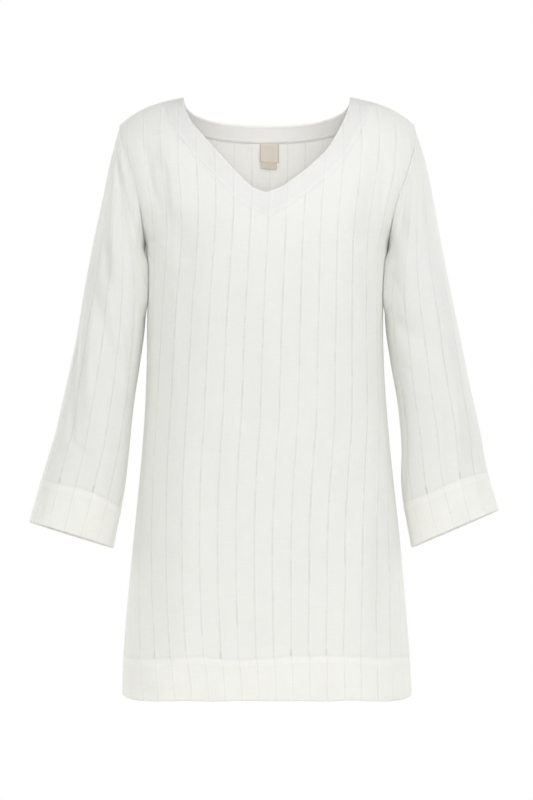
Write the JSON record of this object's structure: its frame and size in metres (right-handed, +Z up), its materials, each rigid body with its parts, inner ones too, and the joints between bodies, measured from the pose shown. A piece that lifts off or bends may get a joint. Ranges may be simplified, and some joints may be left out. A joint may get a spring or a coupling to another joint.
{
  "type": "nightshirt",
  "caption": "Loose linen nightshirt with a V neck, long flared sleeves and turned-up hems, hollow and filled out as worn.",
  "frame": {"origin": "midway between the two neck points, where the shoulder seams meet the neckline, at the height of the shoulders' top", "axes": "+Z up along the garment's length, -Y towards the front, +X towards the wearer's left"},
  "size_m": [0.667, 0.254, 0.8493],
  "materials": {
    "linen_body": "matt white linen with drawn-thread stripes",
    "linen_sleeves": "matt white linen with drawn-thread stripes",
    "linen_facing": "matt white linen, plain",
    "label_tape": "beige woven tape"
  },
  "bodies": {
    "root": {"front": "linen_body", "back": "linen_body", "sleeve_left": "linen_sleeves", "sleeve_right": "linen_sleeves", "front_neck_facing": "linen_facing", "back_neck_facing": "linen_facing", "neck_label": "label_tape", "label_tab": "label_tape"}
  },
  "joints": []
}
